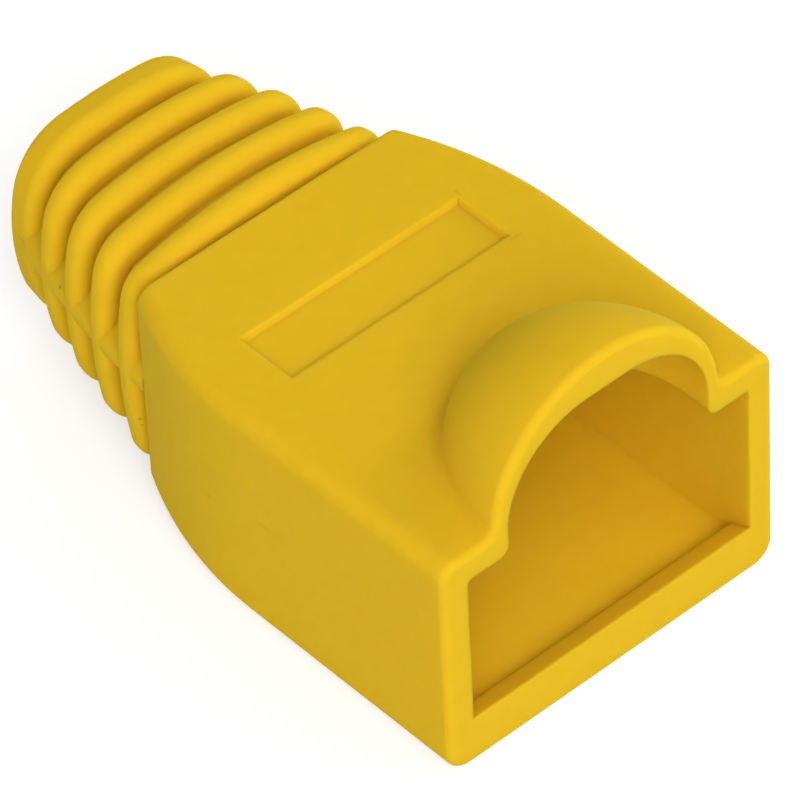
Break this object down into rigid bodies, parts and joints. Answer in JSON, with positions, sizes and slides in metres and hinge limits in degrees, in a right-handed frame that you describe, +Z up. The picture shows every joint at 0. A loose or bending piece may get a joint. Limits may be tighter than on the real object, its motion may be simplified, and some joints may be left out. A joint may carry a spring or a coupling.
{
  "type": "modular plug strain relief boot",
  "caption": "Moulded strain relief boot for an eight-way modular data plug: a hooded socket housing, a label recess and a ribbed tail that grips the cable.",
  "frame": {"origin": "under the middle of the boot, on the flat underside that it rests on", "axes": "+Y from the mouth towards the tail, along the cable; +Z up through the hood; +X to the right when looking into the mouth"},
  "size_m": [0.0142, 0.0244, 0.0139],
  "materials": {
    "boot": "fine matte moulded surface, soft yellow vinyl"
  },
  "bodies": {
    "root": {"boot": "boot"}
  },
  "joints": []
}
